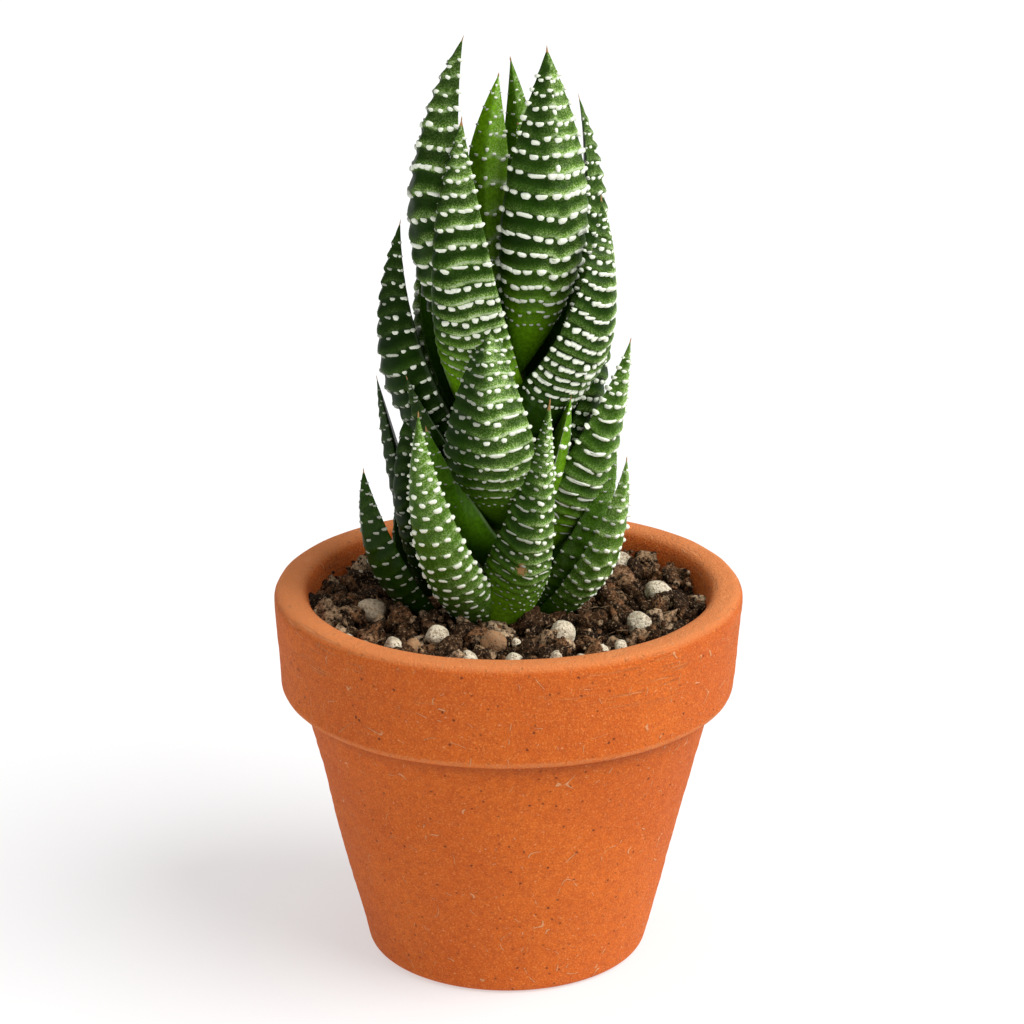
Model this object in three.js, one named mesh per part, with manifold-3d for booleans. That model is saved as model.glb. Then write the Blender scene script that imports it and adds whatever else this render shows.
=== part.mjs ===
// A zebra haworthia in a clay pot: a column of fat pointed leaves, banded with raised white
// tubercles, round one upright stem that stands in gritty soil.
// Millimetres and degrees, +Z up. The origin is the middle of the pot's foot, on the surface that
// the pot stands on.
import * as THREE from "three";
import { LoftGeometry } from "three/addons/geometries/LoftGeometry.js";
import { mergeVertices } from "three/addons/utils/BufferGeometryUtils.js";
import Module from "manifold-3d";

const wasm = await Module();
wasm.setup();

// ---------------------------------------------------------------- driving dimensions

const POT = {
  height: 65.5,
  rimRadius: 40, // at the lip
  rimFootRadius: 38.7, // at the rim's lower edge
  rimHeight: 18.2,
  bodyTopRadius: 35.5,
  footRadius: 23.9,
  lipRadius: 34.5, // inside, at the top
  wall: 4.5,
  floor: 5,
  drainRadius: 5.5,
  edge: 1.6, // size of the softened edges
  segments: 36,
};

const SOIL = {
  level: 61.5,
  radius: 33.4,
  footRadius: 18.9,
  rings: 5,
  segments: 30,
  roughness: 1.1, // unevenness of its top
};

const STEM = { foot: 50, top: 118, footRadius: 5, topRadius: 2, segments: 12 };

const GAP = 0.35; // clearance between neighbouring pieces
const LEAF_SLIVER = 0.08; // detail finer than this is dropped where a leaf is cut
const SOIL_SLIVER = 0.16;
const CREST = 0.32; // how far a band stands out of the leaf
const FURROW = 0.22; // how far the leaf sinks in between two bands
const KNOB = 0.6; // how far a tubercle stands out of its band
const BAND_SHARE = 0.5; // share of a leaf's bands that its solid has
const SECTION_STEPS = 6; // facets across the outer face of a broad leaf
const SLIM_SECTION_STEPS = 5; // and of one under SLIM_WIDTH
const SLIM_WIDTH = 12.6;
const INNER_DEPTH = 0.15; // bulge of the inner face, as a share of half the width
const KEEL = 0.72; // depth of the outer face, as a share of half the width
const SINK = 4; // length of leaf below the soil's level
const ROOM_STEPS = 7; // sections of the space kept clear for a leaf

// Every leaf, lowest first, so that a leaf is shaped round those below it.
//   turn     direction that it grows in, seen from above
//   up, out  place of its foot, above the soil and away from the axis
//   lean     angle from upright at the foot and at the tip
//   bands    rows of tubercles along it
// and, where they differ from LEAF_FORM:
//   ease     above 1 the bend is near the tip, below 1 near the foot
//   sway     sideways angle at the foot and at the tip
//   roll     twist of the faces about the leaf's own line
//   widest   where it is widest, as a share of its length
//   foot     width at the foot, as a share of the widest
//   taper, point   how full and how drawn out the outline is towards the tip
const LEAF_FORM = { ease: 1, sway: [0, 0], roll: 0, widest: 0.38, foot: 0.8, taper: 1.5, point: 1 };
const LEAVES = [
  // springing from the soil, the front ones first
  { name: "leaf_ground_1", turn: -119, up: 0, out: 6, length: 44.5, width: 10.4, lean: [52, -8],
    bands: 19, sway: [-6, -5], roll: 10, widest: 0.2, foot: 1, taper: 1.7 },
  { name: "leaf_ground_2", turn: -101, up: 0, out: 8, length: 42.6, width: 10.8, lean: [24, -11],
    bands: 19, sway: [22, 4], roll: 10, widest: 0.3, foot: 0.7, taper: 1.1 },
  { name: "leaf_ground_3", turn: -34, up: 0.5, out: 8.4, length: 34.5, width: 7.8, lean: [50, 4],
    bands: 13, roll: -20 },
  { name: "leaf_ground_4", turn: -14, up: 0, out: 4, length: 34, width: 11.5, lean: [42, 10],
    bands: 14, roll: -20, taper: 1.4 },
  { name: "leaf_ground_5", turn: -160, up: 0, out: 13.5, length: 30, width: 9.2, lean: [43, 4],
    bands: 12, roll: 15, taper: 1.9 },
  { name: "leaf_ground_6", turn: 177, up: 1, out: 11, length: 43, width: 8.4, lean: [26, -20],
    bands: 14, roll: 20 },
  { name: "leaf_ground_7", turn: 165, up: 0, out: 12, length: 40, width: 8, lean: [17, 14],
    bands: 15, roll: 15, taper: 1.9 },
  { name: "leaf_ground_8", turn: 150, up: 0, out: 18.5, length: 17, width: 4.5, lean: [24, -2],
    bands: 8 },
  { name: "leaf_ground_9", turn: 42, up: 0, out: 9, length: 30, width: 9, lean: [42, 10],
    bands: 13 },
  { name: "leaf_ground_10", turn: 82, up: 0, out: 9, length: 38, width: 10, lean: [38, 0],
    bands: 15 },
  { name: "leaf_ground_11", turn: 120, up: 0, out: 10, length: 35, width: 9.5, lean: [40, 2],
    bands: 14 },
  // round the lower stem
  { name: "leaf_low_1", turn: -21, up: 12.5, out: 5, length: 40.5, width: 12.3, lean: [37, 12],
    bands: 15, roll: -28, widest: 0.3, taper: 1.25 },
  { name: "leaf_low_2", turn: -140, up: 12, out: 4, length: 27, width: 12.5, lean: [46, 14],
    bands: 9 },
  { name: "leaf_low_3", turn: -46, up: 16.5, out: 4.5, length: 26, width: 9, lean: [28, 20],
    bands: 7, roll: 52 },
  { name: "leaf_low_4", turn: 45, up: 14, out: 5, length: 38, width: 12, lean: [40, -4],
    bands: 14 },
  { name: "leaf_low_5", turn: 130, up: 13, out: 5, length: 40, width: 12, lean: [42, -6],
    bands: 14 },
  { name: "leaf_low_6", turn: -102, up: 18, out: 4, length: 40, width: 15.2, lean: [46, -22],
    bands: 17, widest: 0.42, foot: 0.45, taper: 1.3 },
  { name: "leaf_low_7", turn: -156, up: 21, out: 4, length: 26, width: 9, lean: [46, 20],
    bands: 9 },
  { name: "leaf_low_8", turn: 95, up: 20, out: 5, length: 42, width: 14, lean: [42, -16],
    bands: 15 },
  { name: "leaf_low_9", turn: 178, up: 26.5, out: 5, length: 44, width: 14.8, lean: [55, -9],
    bands: 15, ease: 0.7, roll: 25 },
  // round the upper stem
  { name: "leaf_upper_1", turn: 0, up: 22, out: 4, length: 42, width: 11, lean: [36, -6],
    bands: 15 },
  { name: "leaf_upper_2", turn: -34, up: 38.5, out: 4.8, length: 39, width: 16, lean: [49, -7],
    bands: 17, widest: 0.25, foot: 1.3, taper: 1.25 },
  { name: "leaf_upper_3", turn: -129, up: 39.7, out: 4, length: 48, width: 15, lean: [32.5, -16],
    bands: 17, sway: [5.8, -7.3], widest: 0.13, foot: 1, taper: 1.9 },
  { name: "leaf_upper_4", turn: 55, up: 30, out: 5, length: 48, width: 13, lean: [36, -16],
    bands: 16 },
  { name: "leaf_upper_5", turn: 140, up: 30, out: 4.5, length: 46, width: 13, lean: [38, -14],
    bands: 16 },
  { name: "leaf_upper_6", turn: 108, up: 37, out: 4.5, length: 42, width: 12, lean: [32, -16],
    bands: 15 },
  // the crown
  { name: "leaf_crown_1", turn: -57, up: 41.2, out: 3.2, length: 56.5, width: 14.2,
    lean: [20, -7.2], bands: 18, sway: [1.5, 1.5], roll: -20, widest: 0.5, foot: 0.03,
    taper: 1.75 },
  { name: "leaf_crown_2", turn: -163, up: 41.5, out: 4.5, length: 57.5, width: 13.6,
    lean: [22, -20], bands: 16, ease: 1.2, roll: 15, widest: 0.5, foot: 0.6, taper: 1.8 },
  { name: "leaf_crown_3", turn: 8, up: 39, out: 4.5, length: 50, width: 12.4, lean: [29, -12],
    bands: 16, roll: -10 },
  { name: "leaf_crown_4", turn: 98, up: 46, out: 3.5, length: 36, width: 10, lean: [26, -14],
    bands: 13 },
  // the young leaves in its heart
  { name: "leaf_heart_1", turn: -115, up: 50, out: 3, length: 42, width: 6.4, lean: [2, -2],
    bands: 10, sway: [-10.7, 10.5], roll: 25, widest: 0.68, foot: 0.3, taper: 1.3 },
  { name: "leaf_heart_2", turn: 20, up: 52, out: 1.6, length: 42, width: 7.4, lean: [7.5, -10.2],
    bands: 11, sway: [1.5, -1.5], roll: -105, widest: 0.5, foot: 0.6, taper: 1.3 },
  { name: "leaf_heart_3", turn: -60, up: 58, out: 3.4, length: 26, width: 3.6, lean: [2, 0],
    bands: 5, sway: [5, -6], roll: -30 },
].map((leaf) => ({ ...LEAF_FORM, ...leaf }));

// Lumps on the soil: place from the middle, and radius. First the pumice pebbles, then the clods.
const PUMICE = [
  [-22.9, -6, 2.1], [-11.6, -18, 1.8], [-2.3, -22, 2.2], [9.1, -17, 2], [25.7, 2.7, 1.9],
  [21.9, -11.8, 1.8], [-18.5, -22.6, 1.6], [-6.2, -28.4, 1.6], [1.2, -29.5, 1.5],
  [-12, 22, 2.2], [6, 26, 2], [20, 18, 2], [-25, 9, 1.7],
];
const CLODS = [
  [4, -11.5, 3.6], [20, 8, 3.3], [14, -10, 2.9], [18.5, -5, 3], [-17, -10.5, 3.4], [-24, 9, 3],
  [-20, 1, 2.8], [26.5, 10, 2.8], [0, 17, 3.2], [-10, 14, 3], [12, 14, 3.1], [-18, 20, 2.8],
];

const MATERIALS = {
  terracotta: { color: 0xb8643c, roughness: 0.9, metalness: 0 },
  soil: { color: 0x3a271b, roughness: 1, metalness: 0 },
  stem: { color: 0x6f8a35, roughness: 0.6, metalness: 0 },
  leaf: { color: 0x47702a, roughness: 0.42, metalness: 0 },
  young_leaf: { color: 0x6f9a34, roughness: 0.4, metalness: 0 },
};

// ---------------------------------------------------------------- helpers

const radians = THREE.MathUtils.degToRad;
const mix = THREE.MathUtils.lerp;

/** Seeded random numbers from 0 to 1. */
function randomSource(seed) {
  let state = seed;
  return () => {
    state = (state + 0x6d2b79f5) | 0;
    let t = Math.imul(state ^ (state >>> 15), 1 | state);
    t = (t + Math.imul(t ^ (t >>> 7), 61 | t)) ^ t;
    return ((t ^ (t >>> 14)) >>> 0) / 4294967296;
  };
}

/** A closed geometry as a solid. */
function solid(geometry) {
  const plain = new THREE.BufferGeometry().copy(geometry);
  plain.deleteAttribute("normal");
  plain.deleteAttribute("uv");
  const merged = mergeVertices(plain, 1e-4);
  const mesh = new wasm.Mesh({
    numProp: 3,
    vertProperties: merged.attributes.position.array,
    triVerts: new Uint32Array(merged.index.array),
  });
  return new wasm.Manifold(mesh);
}

/** A solid less the room of its neighbours: its biggest body, without slivers. */
function clearOf(body, rooms, sliver) {
  const bodies = wasm.Manifold.difference([body, ...rooms]).simplify(sliver).decompose();
  return bodies.reduce((a, b) => (b.volume() > a.volume() ? b : a));
}

/** A named mesh of a solid. */
function piece(name, body, material) {
  const { numProp, numVert, vertProperties, triVerts } = body.getMesh();
  const points = new Float32Array(numVert * 3);
  for (let i = 0; i < numVert; i++) {
    points.set(vertProperties.subarray(i * numProp, i * numProp + 3), i * 3);
  }
  const geometry = new THREE.BufferGeometry();
  geometry.setAttribute("position", new THREE.BufferAttribute(points, 3));
  geometry.setIndex(new THREE.BufferAttribute(new Uint32Array(triVerts), 1));
  geometry.computeVertexNormals();
  const mesh = new THREE.Mesh(geometry, new THREE.MeshStandardMaterial(MATERIALS[material]));
  mesh.name = name;
  return mesh;
}

// ---------------------------------------------------------------- leaves

/** The direction of a leaf's line at share s of its length. */
function leafDirection(leaf, s) {
  const lean = radians(mix(leaf.lean[0], leaf.lean[1], Math.pow(Math.max(s, 0), leaf.ease)));
  const sway = radians(mix(leaf.sway[0], leaf.sway[1], s));
  const turn = radians(leaf.turn);
  const away = new THREE.Vector3(Math.cos(turn), Math.sin(turn), 0);
  const side = new THREE.Vector3(-Math.sin(turn), Math.cos(turn), 0);
  const along = new THREE.Vector3(0, 0, Math.cos(lean) * Math.cos(sway))
    .addScaledVector(away, Math.sin(lean) * Math.cos(sway))
    .addScaledVector(side, Math.sin(sway));
  const outward = away.multiplyScalar(Math.cos(lean));
  outward.z -= Math.sin(lean);
  outward.addScaledVector(along, -outward.dot(along)).normalize();
  return { along, outward };
}

/** The middle of a leaf at share s of its length, below 0 straight on past its foot. */
function leafMiddle(leaf, s) {
  const turn = radians(leaf.turn);
  const middle = new THREE.Vector3(leaf.out, 0, SOIL.level + leaf.up);
  middle.applyAxisAngle(new THREE.Vector3(0, 0, 1), turn);
  const steps = 24;
  const step = (s * leaf.length) / steps;
  for (let i = 0; i < steps; i++) {
    middle.addScaledVector(leafDirection(leaf, (s * (i + 0.5)) / steps).along, step);
  }
  return middle;
}

/** Half the width of a leaf at share s: a quarter sine up to the widest, then a drawn-out arc. */
function leafHalfWidth(leaf, s) {
  const rise = Math.sin((Math.PI / 2) * Math.min(Math.max(s, 0) / leaf.widest, 1));
  const beyond = Math.min(Math.max((s - leaf.widest) / (1 - leaf.widest), 0), 1);
  const fall = Math.pow(1 - Math.pow(beyond, leaf.taper), leaf.point);
  return (leaf.width / 2) * mix(leaf.foot, 1, rise) * fall;
}

/**
 * One section of a leaf: the outer face as a flattened half round, the inner face as a low arch.
 * raise(j) is how far the outer point j stands out of the smooth leaf.
 */
function leafSection(leaf, s, raise) {
  const { along, outward } = leafDirection(leaf, s);
  const across = new THREE.Vector3().crossVectors(along, outward);
  outward.applyAxisAngle(along, radians(leaf.roll));
  across.applyAxisAngle(along, radians(leaf.roll));
  const middle = leafMiddle(leaf, s);
  const half = Math.max(leafHalfWidth(leaf, s), 0.12);
  const at = (x, y) =>
    middle.clone().addScaledVector(across, x).addScaledVector(outward, y);
  const points = [];
  const steps = leaf.width < SLIM_WIDTH ? SLIM_SECTION_STEPS : SECTION_STEPS;
  for (let j = 0; j <= steps; j++) {
    const angle = (Math.PI * j) / steps;
    const x = -Math.cos(angle);
    const y = Math.pow(Math.sin(angle), 0.9);
    const more = raise(j);
    points.push(at(x * (half + more), y * (half * KEEL + more)));
  }
  const inner = -INNER_DEPTH * half - raise(-1);
  points.push(at(0.5 * half, inner), at(-0.5 * half, inner));
  return points;
}

/** A leaf with its bands: each is a crest with tubercles on every other point, set in turn. */
function leafSolid(leaf) {
  const size = Math.min(1, leaf.width / 10);
  const bands = Math.max(3, Math.round(leaf.bands * BAND_SHARE));
  const first = 0.14;
  const last = 0.93;
  const halfStep = (last - first) / (bands - 1) / 2;
  const smooth = () => 0;
  const sections = [
    leafSection(leaf, -SINK / leaf.length, smooth),
    leafSection(leaf, 0.02, smooth),
  ];
  for (let band = 0; band < bands; band++) {
    const crest = mix(first, last, band / (bands - 1));
    const fade = Math.min(1, leafHalfWidth(leaf, crest) / 2.4);
    const knobbed = (j) => (j + band) % 2 === 0;
    const height = (j) => (j < 0 ? 0 : size * fade * (CREST + (knobbed(j) ? KNOB : 0)));
    const furrow = (j) => (j < 0 ? 0 : -size * fade * FURROW);
    if (band > 0) sections.push(leafSection(leaf, crest - halfStep, furrow));
    sections.push(leafSection(leaf, crest, height));
  }
  sections.push(leafSection(leaf, 0.97, smooth), leafSection(leaf, 1, smooth));
  return solid(new LoftGeometry(sections, { capStart: true, capEnd: true }));
}

/** The room that a leaf takes up with its clearance, to cut its neighbours with. */
function leafRoom(leaf) {
  const more = Math.min(1, leaf.width / 10) * (CREST + KNOB) + GAP;
  const sections = [];
  for (let i = 0; i <= ROOM_STEPS; i++) {
    const s = mix(-(SINK + GAP) / leaf.length, 1.02, i / ROOM_STEPS);
    sections.push(leafSection(leaf, s, (j) => (j < 0 ? GAP : more)));
  }
  return solid(new LoftGeometry(sections, { capStart: true, capEnd: true }));
}

// ---------------------------------------------------------------- stem, soil and pot

/** A tapering round column, larger by grow. */
function stemSolid(grow) {
  const outline = [
    [0, STEM.foot - grow],
    [STEM.footRadius + grow, STEM.foot - grow],
    [STEM.footRadius + grow, SOIL.level],
    [STEM.topRadius + grow, STEM.top - STEM.topRadius],
    [0, STEM.top + grow],
  ].map(([r, z]) => new THREE.Vector2(r, z));
  return solid(upright(new THREE.LatheGeometry(outline, STEM.segments)));
}

/** A lathe turned about Y, stood up along Z. */
function upright(geometry) {
  return geometry.rotateX(Math.PI / 2);
}

/** The soil: a plug that fills the pot, rough on top, with clods and pebbles half sunk in it. */
function soilSolid() {
  const random = randomSource(7);
  const rings = [];
  const ring = (radius, height) =>
    Array.from({ length: SOIL.segments }, (_, i) => {
      const angle = (2 * Math.PI * i) / SOIL.segments;
      const z = height();
      return new THREE.Vector3(radius * Math.cos(angle), radius * Math.sin(angle), z);
    });
  rings.push(ring(SOIL.footRadius, () => POT.floor + GAP));
  rings.push(ring(SOIL.radius, () => SOIL.level - 1));
  for (let i = 1; i < SOIL.rings; i++) {
    const radius = SOIL.radius * (1 - i / SOIL.rings);
    rings.push(ring(radius, () => SOIL.level + SOIL.roughness * (random() - 0.5)));
  }
  rings.push(ring(1, () => SOIL.level + SOIL.roughness));
  const soil = solid(new LoftGeometry(rings, { capStart: true, capEnd: true }));
  const lump = (x, y, radius) => {
    const grain = new THREE.IcosahedronGeometry(radius, 0);
    grain.rotateX(random() * Math.PI);
    grain.rotateZ(random() * Math.PI);
    grain.scale(1, 1, 0.85);
    grain.translate(x, y, SOIL.level + 0.3 * radius);
    return solid(grain);
  };
  const lumps = [...PUMICE, ...CLODS].map(([x, y, radius]) => lump(x, y, radius));
  return wasm.Manifold.union([soil, ...lumps]);
}

/** The pot: one turned shell with a rolled lip, a stepped rim and a drain hole. */
function potSolid() {
  const { height, edge, floor, wall } = POT;
  const rimFoot = height - POT.rimHeight;
  const outline = [
    [POT.drainRadius, 0],
    [POT.footRadius - edge, 0],
    [POT.footRadius, edge],
    [POT.bodyTopRadius, rimFoot],
    [POT.rimFootRadius - 0.8, rimFoot],
    [POT.rimFootRadius, rimFoot + 0.8],
    [POT.rimRadius, height - edge],
    [POT.rimRadius - 0.5 * edge, height - 0.3 * edge],
    [POT.rimRadius - 1.3 * edge, height],
    [POT.lipRadius + edge, height],
    [POT.lipRadius + 0.2 * edge, height - 0.5 * edge],
    [POT.lipRadius, height - 1.3 * edge],
    [POT.footRadius - wall, floor],
    [POT.drainRadius, floor],
    [POT.drainRadius, 0],
  ].map(([r, z]) => new THREE.Vector2(r, z));
  return solid(upright(new THREE.LatheGeometry(outline, POT.segments)));
}

// ---------------------------------------------------------------- assembly

const plant = new THREE.Group();
plant.add(piece("pot", potSolid(), "terracotta"));

const stemRoom = stemSolid(GAP);
const rooms = [stemRoom];
for (const leaf of LEAVES) {
  const body = clearOf(leafSolid(leaf), rooms, LEAF_SLIVER);
  rooms.push(leafRoom(leaf));
  plant.add(piece(leaf.name, body, leaf.name.includes("heart") ? "young_leaf" : "leaf"));
}
plant.add(piece("stem", stemSolid(0), "stem"));
plant.add(piece("soil", clearOf(soilSolid(), rooms, SOIL_SLIVER), "soil"));

export default plant;
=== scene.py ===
"""A zebra haworthia in a clay pot: banded, pointed leaves round a stem, in bark and pumice."""

import bpy
import numpy as np
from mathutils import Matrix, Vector


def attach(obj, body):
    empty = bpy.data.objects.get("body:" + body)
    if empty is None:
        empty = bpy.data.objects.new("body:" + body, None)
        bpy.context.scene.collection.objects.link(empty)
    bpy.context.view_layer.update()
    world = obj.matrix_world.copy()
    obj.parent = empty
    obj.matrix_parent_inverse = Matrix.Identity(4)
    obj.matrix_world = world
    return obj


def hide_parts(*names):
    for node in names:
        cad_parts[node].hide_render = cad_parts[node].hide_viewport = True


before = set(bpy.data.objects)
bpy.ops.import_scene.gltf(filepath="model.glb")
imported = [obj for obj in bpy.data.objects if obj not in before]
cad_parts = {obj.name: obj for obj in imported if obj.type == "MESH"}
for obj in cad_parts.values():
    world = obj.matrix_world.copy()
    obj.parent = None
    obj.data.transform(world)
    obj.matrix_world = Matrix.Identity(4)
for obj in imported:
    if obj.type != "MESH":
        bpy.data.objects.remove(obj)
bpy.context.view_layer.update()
MM = 0.001  # a millimetre in the scene's metres

# ---------------------------------------------------------------- camera, light and table
# A long lens looks slightly down on the pot. The table is a white sheet, and a big soft lamp
# stands on the right, a little in front of the plant, with white walls all round.

AIM = Vector((0.83, 0, 78.1)) * MM
CAMERA_DISTANCE = 560 * MM
CAMERA_ELEVATION = np.radians(18.95)
LENS = 116.7  # on a 36 mm wide sensor
LAMP_AIM = (-0.80, 0.34, -0.86)  # the way that its light travels
LAMP_SPREAD = np.radians(52)
LAMP_STRENGTH = 3.05
WALL_STRENGTH = 0.50
TABLE_SIZE = 12.0
TABLE_GLOW = 0.50


def put_in_scene(name, data, facing=None):
    """An object for this data. A camera or a lamp also gets the direction that it faces."""
    thing = bpy.data.objects.new(name, data)
    if facing is not None:
        thing.rotation_mode = "QUATERNION"
        thing.rotation_quaternion = facing.to_track_quat("-Z", "Y")
    bpy.context.scene.collection.objects.link(thing)
    return thing


camera_data = bpy.data.cameras.new("camera")
camera_data.lens = LENS
camera_data.sensor_width = 36
camera_data.clip_start = 0.01
camera_data.clip_end = 50
towards_camera = Vector((0, -np.cos(CAMERA_ELEVATION), np.sin(CAMERA_ELEVATION)))
camera = put_in_scene("camera", camera_data, -towards_camera)
camera.location = AIM + CAMERA_DISTANCE * towards_camera
bpy.context.scene.camera = camera
bpy.context.scene.view_settings.view_transform = "Standard"

lamp_data = bpy.data.lights.new("lamp", "SUN")
lamp_data.angle = LAMP_SPREAD
lamp_data.energy = LAMP_STRENGTH
put_in_scene("lamp", lamp_data, Vector(LAMP_AIM))

walls = bpy.data.worlds.new("walls")
walls.use_nodes = True
walls.node_tree.nodes["Background"].inputs["Color"].default_value = (1, 1, 1, 1)
walls.node_tree.nodes["Background"].inputs["Strength"].default_value = WALL_STRENGTH
bpy.context.scene.world = walls


class Finish:
    """One output socket in a material's node tree: Python's operators on it add Math nodes."""

    def __init__(self, tree, socket=None):
        self.tree = tree
        self.socket = socket

    def add(self, kind, settings, sockets, out=0):
        """A new node of this type: its settings first, then the values or links of its sockets."""
        node = self.tree.nodes.new("ShaderNode" + kind)
        for name, value in settings.items():
            if name == "stops":
                ramp = node.color_ramp
                while len(ramp.elements) < len(value):
                    ramp.elements.new(1)
                for element, (place, colour) in zip(ramp.elements, value):
                    element.position = place
                    element.color = (*colour, 1)
            else:
                setattr(node, name, value)
        for name, value in sockets.items():
            if isinstance(value, Finish):
                self.tree.links.new(value.socket, node.inputs[name])
            else:
                node.inputs[name].default_value = value
        return Finish(self.tree, node.outputs[out])

    def math(self, operation, a, b=0.0):
        """One Math node, on sockets or numbers."""
        return self.add("Math", {"operation": operation}, {0: a, 1: b})

    def __add__(self, other):
        return self.math("ADD", self, other)

    def __sub__(self, other):
        return self.math("SUBTRACT", self, other)

    def __rsub__(self, other):
        return self.math("SUBTRACT", other, self)

    def __mul__(self, other):
        return self.math("MULTIPLY", self, other)

    __radd__ = __add__
    __rmul__ = __mul__

    def step(self, low, high):
        """0 below low and 1 above high, with a soft step in between."""
        sockets = {"Value": self, "From Min": low, "From Max": high}
        return self.add("MapRange", {"interpolation_type": "SMOOTHSTEP"}, sockets)

    def tint(self, first, second):
        """The first colour where this is 0 and the second where it is 1."""
        colours = [c if isinstance(c, Finish) else (*c, 1) for c in (first, second)]
        sockets = {0: self, 6: colours[0], 7: colours[1]}
        return self.add("Mix", {"data_type": "RGBA"}, sockets, out=2)

    def place(self, stretch=(1, 1, 1)):
        """The piece's own coordinates, stretched."""
        own = self.add("TexCoord", {}, {}, out=3)
        return self.add("Mapping", {}, {"Vector": own, "Scale": stretch})

    def grain(self, size, detail=3.0, roughness=0.55, stretch=(1, 1, 1)):
        """Noise from 0 to 1 on the piece's own coordinates, in patches of this size."""
        sockets = {"Vector": self.place(stretch), "Scale": 1 / size}
        return self.add("TexNoise", {}, {**sockets, "Detail": detail, "Roughness": roughness})

    def cells(self, size, stretch=(1, 1, 1)):
        """Distance from the nearest of scattered points, this far apart."""
        return self.add("TexVoronoi", {}, {"Vector": self.place(stretch), "Scale": 1 / size})

    def painted(self, name):
        """A number that is stored on the mesh."""
        return self.add("Attribute", {"attribute_name": name}, {}, out=2)

    def relief(self, depth, strength):
        """Normals of a skin that stands out by this number times the depth."""
        return self.add("Bump", {}, {"Height": self, "Distance": depth, "Strength": strength})


def new_material(name, constants, make):
    """A material whose shader has these constant sockets and the links that make(finish) gives."""
    material = bpy.data.materials.new(name)
    material.use_nodes = True
    tree = material.node_tree
    shader = tree.nodes["Principled BSDF"]
    for socket, value in constants.items():
        shader.inputs[socket].default_value = value
    for socket, value in make(Finish(tree)).items():
        tree.links.new(value.socket, shader.inputs[socket])
    return material


def new_piece(name, parts, material, painted=None):
    """A smooth mesh object. parts is a list of (points, faces), where faces is a list of index
    arrays with 3 or 4 columns, and painted gives the numbers stored at the points."""
    points = np.concatenate([part_points for part_points, _ in parts])
    starts = np.cumsum([0] + [len(part_points) for part_points, _ in parts])
    faces = [group + start for (_, groups), start in zip(parts, starts) for group in groups]
    corners = np.concatenate([group.ravel() for group in faces])
    sizes = np.concatenate([np.full(len(group), group.shape[1]) for group in faces])
    mesh = bpy.data.meshes.new(name)
    mesh.vertices.add(len(points))
    mesh.vertices.foreach_set("co", points.astype(np.float32).ravel())
    mesh.loops.add(len(corners))
    mesh.loops.foreach_set("vertex_index", corners.astype(np.int32))
    mesh.polygons.add(len(sizes))
    mesh.polygons.foreach_set("loop_start", (np.cumsum(sizes) - sizes).astype(np.int32))
    mesh.update(calc_edges=True)
    mesh.shade_smooth()
    for key, values in (painted or {}).items():
        stored = mesh.attributes.new(key, "FLOAT", "POINT")
        stored.data.foreach_set("value", values.astype(np.float32))
    mesh.materials.append(material)
    return put_in_scene(name, mesh)


def table_finish(finish):
    """White card with the faintest mottle."""
    mottle = finish.grain(80 * MM)
    return {"Base Color": mottle.tint((0.48, 0.48, 0.48), (0.49, 0.49, 0.49))}


half = TABLE_SIZE / 2
table_corners = np.array([(-half, -half, 0), (half, -half, 0), (half, half, 0), (-half, half, 0)])
table = new_piece(
    "table",
    [(table_corners, [np.array([[0, 1, 2, 3]])])],
    new_material(
        "white_card",
        {"Roughness": 1.0, "Emission Color": (1, 1, 1, 1), "Emission Strength": TABLE_GLOW,
         "Specular IOR Level": 0.0},
        table_finish,
    ),
)

# ---------------------------------------------------------------- pot
# A thrown and fired clay pot: one thick shell with a deep plain rim, a rounded lip and a drain
# hole. Its surface is dry and gritty, with fine turning lines, pits and pale flecks.

POT_HEIGHT = 65.5  # this and the next sizes are in millimetres
RIM_FOOT = 47.3
FLOOR_HEIGHT = 5
DRAIN_RADIUS = 5.5
POT_CORNERS = [  # radius, height and rounding of each corner
    (DRAIN_RADIUS, 0, 0.8), (23.9, 0, 1.7), (35.5, RIM_FOOT, 0.5), (38.6, RIM_FOOT - 0.1, 1.5),
    (40, POT_HEIGHT, 2.3), (34.45, POT_HEIGHT, 2.3), (19.4, FLOOR_HEIGHT, 3),
    (DRAIN_RADIUS, FLOOR_HEIGHT, 0.8),
]
POT_SIDES = 240
CORNER_STEPS = 9
WALL_STEP = 1.0 * MM
WAVES = 24
BROAD_WOBBLE = 0.16 * MM  # how far the clay stands out of true, over lengths of 46 mm
SHORT_WOBBLE = 0.05 * MM  # and over lengths of 11 mm
TURNING_LINES = 0.035 * MM
TURNING_SPACING = 1.6 * MM


def ring_faces(rings, sides, closed=False):
    """Faces of a stack of rings, each anticlockwise seen from the side of the last: quads from ring
    to ring, and then back to the first ring if closed, or else a fan to a pole at each end. The
    foot's pole is the point after the rings and the top's is the one after that."""
    here = np.arange(sides)
    following = (here + 1) % sides
    low = np.arange(rings if closed else rings - 1)[:, None] * sides
    high = (low + sides) % (rings * sides)
    quads = np.stack([low + here, low + following, high + following, high + here], -1)
    faces = [quads.reshape(-1, 4)]
    if not closed:
        last = (rings - 1) * sides
        foot = np.full(sides, rings * sides)
        faces.append(np.stack([foot, following, here], -1))
        faces.append(np.stack([foot + 1, last + here, last + following], -1))
    return faces


def waves(points, size, seed):
    """Smooth seeded noise of about unit height: a sum of plane waves in random directions, each
    about this long."""
    random = np.random.default_rng(seed)
    way = random.normal(size=(WAVES, 3))
    way *= (2 * np.pi / size * random.uniform(0.6, 1.6, WAVES) / np.linalg.norm(way, axis=1))[:, None]
    phase = random.uniform(0, 2 * np.pi, WAVES)
    return np.sin(points @ way.T + phase).sum(-1) * np.sqrt(2 / WAVES) / 1.4


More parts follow.
